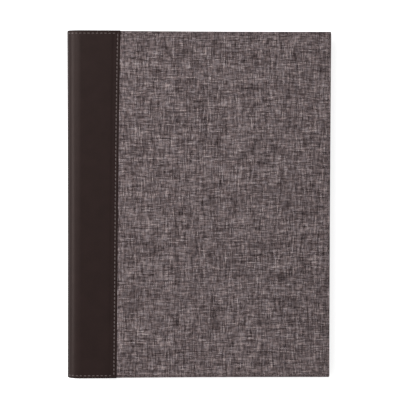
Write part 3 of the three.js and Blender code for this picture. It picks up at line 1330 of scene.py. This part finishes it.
@dataclass
class Pocket:
    """A flat pocket: a sheet sewn at its sides and foot, with a folded hem along its mouth."""

    node: str
    cover: Cover
    material: Material
    thread: Material
    rise: float = 0.0
    hem: float = 9 * MM
    sewn: float = 1.4 * MM
    wall: float = 0.6 * MM
    hem_wall: float = 0.3 * MM
    hem_step: float = 0.12 * MM
    hem_edge: float = 0.13 * MM
    soft_edge: float = 0.15 * MM
    gusset: float = 2.4 * MM
    gusset_edge: float = 0.1 * MM
    thread_drop: float = 0.08 * MM
    thread_rise: float = 0.02 * MM
    curve_steps: int = 24

    def __post_init__(self) -> None:
        """Reads the pocket's box and turns its heights into depths into the cover."""
        low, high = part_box(self.node)
        self.x0, self.x1, self.y0, self.y1 = low.x, high.x, low.y, high.y
        front = self.cover is Cover.FRONT
        self.shallow = AT.top - high.z if front else low.z
        self.deep = AT.top - low.z if front else high.z

    def mouth(self, t: float, drop: float = 0.0) -> Point:
        """A point of the mouth.

        Args:
            t: the place on it, from the fore edge at 0 to the spine side at 1.
            drop: how far below the mouth the point lies.

        Returns:
            Its x and y.
        """
        base = self.y1 - self.rise
        y = (1 - t) ** 2 * self.y1 + 2 * t * (1 - t) * base + t * t * base
        return self.x1 + (self.x0 - self.x1) * t, y - drop

    def build(self) -> list[bpy.types.Object]:
        """Builds the sheet with its hem, and its stitches.

        Returns:
            The two pieces.
        """
        steps = self.curve_steps if self.rise else 1
        drops = (0.0, self.hem, self.hem - self.sewn)
        top, low, hemline = ([self.mouth(k / steps, drop) for k in range(steps + 1)] for drop in drops)
        face = -self.deep + self.hem_step
        back = min(-self.shallow, face + self.wall)
        body = plate([(self.x0, self.y0), (self.x1, self.y0)] + top, face, back, self.soft_edge)
        if back < -self.shallow:
            self.gussets(body, back - self.gusset_edge)
        absorb(body, plate(top + low[::-1], -self.deep, -self.deep + self.hem_wall, self.hem_edge))
        sheet = placed(f"{self.node}_sheet", body, self.cover, self.material)
        x0, x1, y0 = self.x0 + self.sewn, self.x1 - self.sewn, self.y0 + self.sewn
        sides = [(x1, self.y1 - self.sewn), (x1, y0), (x0, y0), (x0, self.mouth(1)[1] - self.sewn)]
        points = [Vector((x, y, self.thread_drop - self.deep)) for x, y in sides]
        bm = sewn(points, [IN] * len(points), POCKET_STITCH)
        points = [Vector((x, y, -self.thread_rise - self.deep)) for x, y in hemline]
        absorb(bm, sewn(points, [IN] * len(points), POCKET_STITCH))
        return [sheet, placed(f"{self.node}_stitches", bm, self.cover, self.thread)]

    def gussets(self, body: bmesh.types.BMesh, start: float) -> None:
        """Adds the turned-down sides and foot of a pocket that holds something thick.

        Args:
            body: the sheet, which they are added to.
            start: their height at the sheet.
        """
        x0, x1, y0, y1 = self.x0, self.x1, self.y0, self.y1
        g = self.gusset
        for side in ((x0, x0 + g, y0, y1), (x1 - g, x1, y0, y1), (x0, x1, y0, y0 + g)):
            absorb(body, plate(rectangle(*side), start, -self.shallow, self.gusset_edge))


@dataclass
class PenLoop:
    """A band of ribbed elastic that stands in the hollow of the spine, on a tab sewn to the lining."""

    finishes: Finishes
    wall: float = 0.8 * MM
    slim: float = 0.4 * MM
    unclosed: float = 0.75
    steps: int = 36
    rows: int = 9

    def build(self) -> bpy.types.Object:
        """Builds the band.

        Returns:
            The piece.
        """
        low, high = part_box("pen_loop")
        radius = (high.z - low.z) / 2 - self.slim
        cx = low.x + radius + 2 * self.slim
        cz = low.z + radius
        path = [(high.x, low.z), ((high.x + cx) / 2, low.z)]
        for k in range(self.steps + 1):
            turn = -math.pi / 2 - (2 * math.pi - self.unclosed) * k / self.steps
            path.append((cx + radius * math.cos(turn), cz + radius * math.sin(turn)))

        def place(i: int, j: int) -> Vector:
            """The vertex at a point of the path, in a row across the band."""
            x, z = path[i]
            return Vector((x, low.y + (high.y - low.y) * j / (self.rows - 1), z))

        bm = gridded(len(path), self.rows, place, IN)
        thicken(bm, self.wall)
        piece = grown("pen_loop_band", bm, self.finishes.elastic)
        length = sum(math.dist(a, b) for a, b in zip(path, path[1:]))
        return piece


class Padfolio:
    """The whole folder: its pieces, their bodies and the CAD solids that they stand for."""

    def __init__(self) -> None:
        """Makes the finishes."""
        self.finishes = Finishes()

    def carry(self, piece: bpy.types.Object, body: str, slot: str, *nodes: str) -> None:
        """Sets a finished piece on its body.

        Args:
            piece: the piece.
            body: the CAD body that it moves with.
            slot: the record's material slot.
            nodes: the CAD solids that it stands for.
        """
        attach(piece, body)
        self.mark(piece, slot, *nodes)

    def mark(self, piece: bpy.types.Object, slot: str, *nodes: str) -> None:
        """Hides the CAD solids that a piece stands for, and logs the piece with its slot and those solids.

        Args:
            piece: the piece.
            slot: the record's material slot.
            nodes: the CAD solids that it stands for.
        """
        if nodes:
            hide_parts(*nodes)
        stood_for = ", ".join(nodes) or "nothing"
        log.info("%s: %d faces, %s, stands for %s", piece.name, len(piece.data.polygons), slot, stood_for)

    def outside(self, cover: Cover) -> None:
        """Builds a cover's cloth, leatherette and their stitches.

        Args:
            cover: the cover.
        """
        cloth = FabricCover(cover, self.finishes)
        self.carry(cloth.build(), cover.body, "fabric", f"{cover.value}_fabric")
        for piece in cloth.edge_rows():
            self.carry(piece, cover.body, "fabric")
        wrap = LeatherWrap(cover, self.finishes)
        bend = HingeBend(cover)
        strip = wrap.build()
        bend.apply(strip)
        nodes = ["spine_leather"] if cover is Cover.FRONT else []
        self.mark(strip, "leather", f"{cover.value}_leather", *nodes)
        self.carry(wrap.edge_folds(), cover.body, "leather")
        self.carry(wrap.seam_row(), cover.body, "leather")
        hems = wrap.hem_rows()
        bend.apply(hems)
        self.mark(hems, "leather")

    def inside(self, cover: Cover) -> None:
        """Builds a cover's lining.

        Args:
            cover: the cover.
        """
        lining = Lining(cover, self.finishes)
        self.carry(lining.panel(), cover.body, "lining", f"{cover.value}_lining")
        self.carry(lining.edge_row(), cover.body, "lining")
        strip = lining.strip()
        HingeBend(cover).apply(strip)
        self.mark(strip, "lining", *(["spine_lining"] if cover is Cover.FRONT else []))

    def pockets(self) -> None:
        """Builds the pockets of both covers."""
        f = self.finishes
        made = [
            (Pocket("pad_pocket", Cover.BACK, f.lining, f.edge_thread), "lining"),
            (Pocket("document_pocket", Cover.FRONT, f.lining, f.edge_thread, rise=26 * MM), "lining"),
        ]
        for tier in ("upper", "middle", "lower"):
            node = f"card_pocket_{tier}"
            made.append((Pocket(node, Cover.FRONT, f.pocket, f.seam_thread, hem=6 * MM), "leather"))
        for pocket, slot in made:
            sheet, thread = pocket.build()
            self.carry(sheet, pocket.cover.body, slot, pocket.node)
            self.carry(thread, pocket.cover.body, slot)

    def pad(self) -> None:
        """Adds the pen loop, and finishes the pad and the boards, whose CAD solids show as they are."""
        self.carry(PenLoop(self.finishes).build(), "back_cover", "elastic", "pen_loop")
        finish = {
            "pad_sheets": self.finishes.paper,
            "pad_backing": self.finishes.backing,
            "pad_binding": self.finishes.tape,
            "front_board": self.finishes.board,
            "back_board": self.finishes.board,
        }
        for node, material in finish.items():
            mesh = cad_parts[node].data
            mesh.materials.clear()
            mesh.materials.append(material)
            log.info("%s: finished as %s", node, material.name)

    def build(self) -> None:
        """Builds every piece."""
        for cover in Cover:
            self.outside(cover)
            self.inside(cover)
        self.pockets()
        self.pad()


@dataclass
class Studio:
    """A white table under soft light, and a camera at the photograph's place."""

    camera_at: tuple = (-60.0, 68.8, 1518.3)
    camera_turn: tuple = (-0.04273, -0.04039, 0.00212)
    focal_pixels: float = 1643.9
    image_pixels: float = 400.0
    sensor: float = 36.0
    table_size: float = 4.0
    table_drop: float = 0.3 * MM
    table_glow: float = 0.68
    room_light: float = 0.37
    lamps: tuple = (
        ("side_lamp", (-1.24, 0.1, 0.62), (0.9, 0.26), 10.8),
        ("overhead_lamp", (-0.8, 0.5, 1.4), (0.9, 0.9), 13.5),
    )

    def floor(self) -> None:
        """The table top: white to the camera, with the object's shadow on it."""
        bm = bmesh.new()
        drop = Matrix.Translation((0, 0, -self.table_drop))
        bmesh.ops.create_grid(bm, x_segments=2, y_segments=2, size=self.table_size, matrix=drop)
        g = Graph("white_table")
        x, y, _ = g.point()
        g.colour(g.ramp(g.noise(g.vector(x, y), 0.01), [(0.3, grey(0.93)), (0.7, grey(0.95))]))
        g.gloss(0.9, 0.1)
        path = g.tree.nodes.new("ShaderNodeLightPath")
        seen = g.math("MAXIMUM", path.outputs["Is Camera Ray"], path.outputs["Is Glossy Ray"])
        seen = g.math("MAXIMUM", seen, path.outputs["Is Transmission Ray"])
        g.shader.inputs["Emission Color"].default_value = (1.0, 1.0, 1.0, 1.0)
        g.put(g.shader.inputs["Emission Strength"], g.math("MULTIPLY", seen, self.table_glow))
        floor = grown("table_top", bm, g.material)

    def world(self) -> None:
        """Soft light from all round, which the camera and gloss see as white."""
        world = bpy.data.worlds.new("white_room")
        bpy.context.scene.world = world
        world.use_nodes = True
        nodes, links = world.node_tree.nodes, world.node_tree.links
        nodes.clear()
        out = nodes.new("ShaderNodeOutputWorld")
        mix = nodes.new("ShaderNodeMixShader")
        soft, white = nodes.new("ShaderNodeBackground"), nodes.new("ShaderNodeBackground")
        soft.inputs["Color"].default_value = (1.0, 1.0, 1.0, 1.0)
        soft.inputs["Strength"].default_value = self.room_light
        white.inputs["Color"].default_value = (1.0, 1.0, 1.0, 1.0)
        path = nodes.new("ShaderNodeLightPath")
        seen = nodes.new("ShaderNodeMath")
        seen.operation = "MAXIMUM"
        links.new(path.outputs["Is Camera Ray"], seen.inputs[0])
        links.new(path.outputs["Is Glossy Ray"], seen.inputs[1])
        through = nodes.new("ShaderNodeMath")
        through.operation = "MAXIMUM"
        links.new(seen.outputs[0], through.inputs[0])
        links.new(path.outputs["Is Transmission Ray"], through.inputs[1])
        links.new(through.outputs[0], mix.inputs[0])
        links.new(soft.outputs[0], mix.inputs[1])
        links.new(white.outputs[0], mix.inputs[2])
        links.new(mix.outputs[0], out.inputs[0])

    def lamp(self, name: str, place: tuple, size: tuple, watts: float) -> None:
        """A soft rectangular lamp that looks at the folder.

        Args:
            name: the lamp's name.
            place: where it hangs, in metres.
            size: its width and height.
            watts: its power.
        """
        data = bpy.data.lights.new(name, "AREA")
        data.shape = "RECTANGLE"
        data.size, data.size_y = size
        data.energy = watts
        lamp = bpy.data.objects.new(name, data)
        lamp.location = place
        lamp.rotation_euler = (-Vector(place)).to_track_quat("-Z", "Y").to_euler()
        bpy.context.scene.collection.objects.link(lamp)

    def camera(self) -> None:
        """The camera, almost straight above the front cover."""
        data = bpy.data.cameras.new("camera")
        data.sensor_width = self.sensor
        data.sensor_height = self.sensor
        data.lens = self.focal_pixels / self.image_pixels * self.sensor
        data.clip_start, data.clip_end = 0.01, 50.0
        camera = bpy.data.objects.new("camera", data)
        camera.location = [v * MM for v in self.camera_at]
        camera.rotation_euler = self.camera_turn
        bpy.context.scene.collection.objects.link(camera)
        bpy.context.scene.camera = camera

    def build(self) -> None:
        """Builds the stage."""
        self.floor()
        self.world()
        for lamp in self.lamps:
            self.lamp(*lamp)
        self.camera()
        bpy.context.scene.view_settings.view_transform = "Standard"


def main() -> None:
    """Builds the stage and the folder."""
    logging.basicConfig(level=logging.INFO, format="%(message)s")
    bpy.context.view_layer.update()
    Studio().build()
    Padfolio().build()


if __name__ == "__main__":
    main()
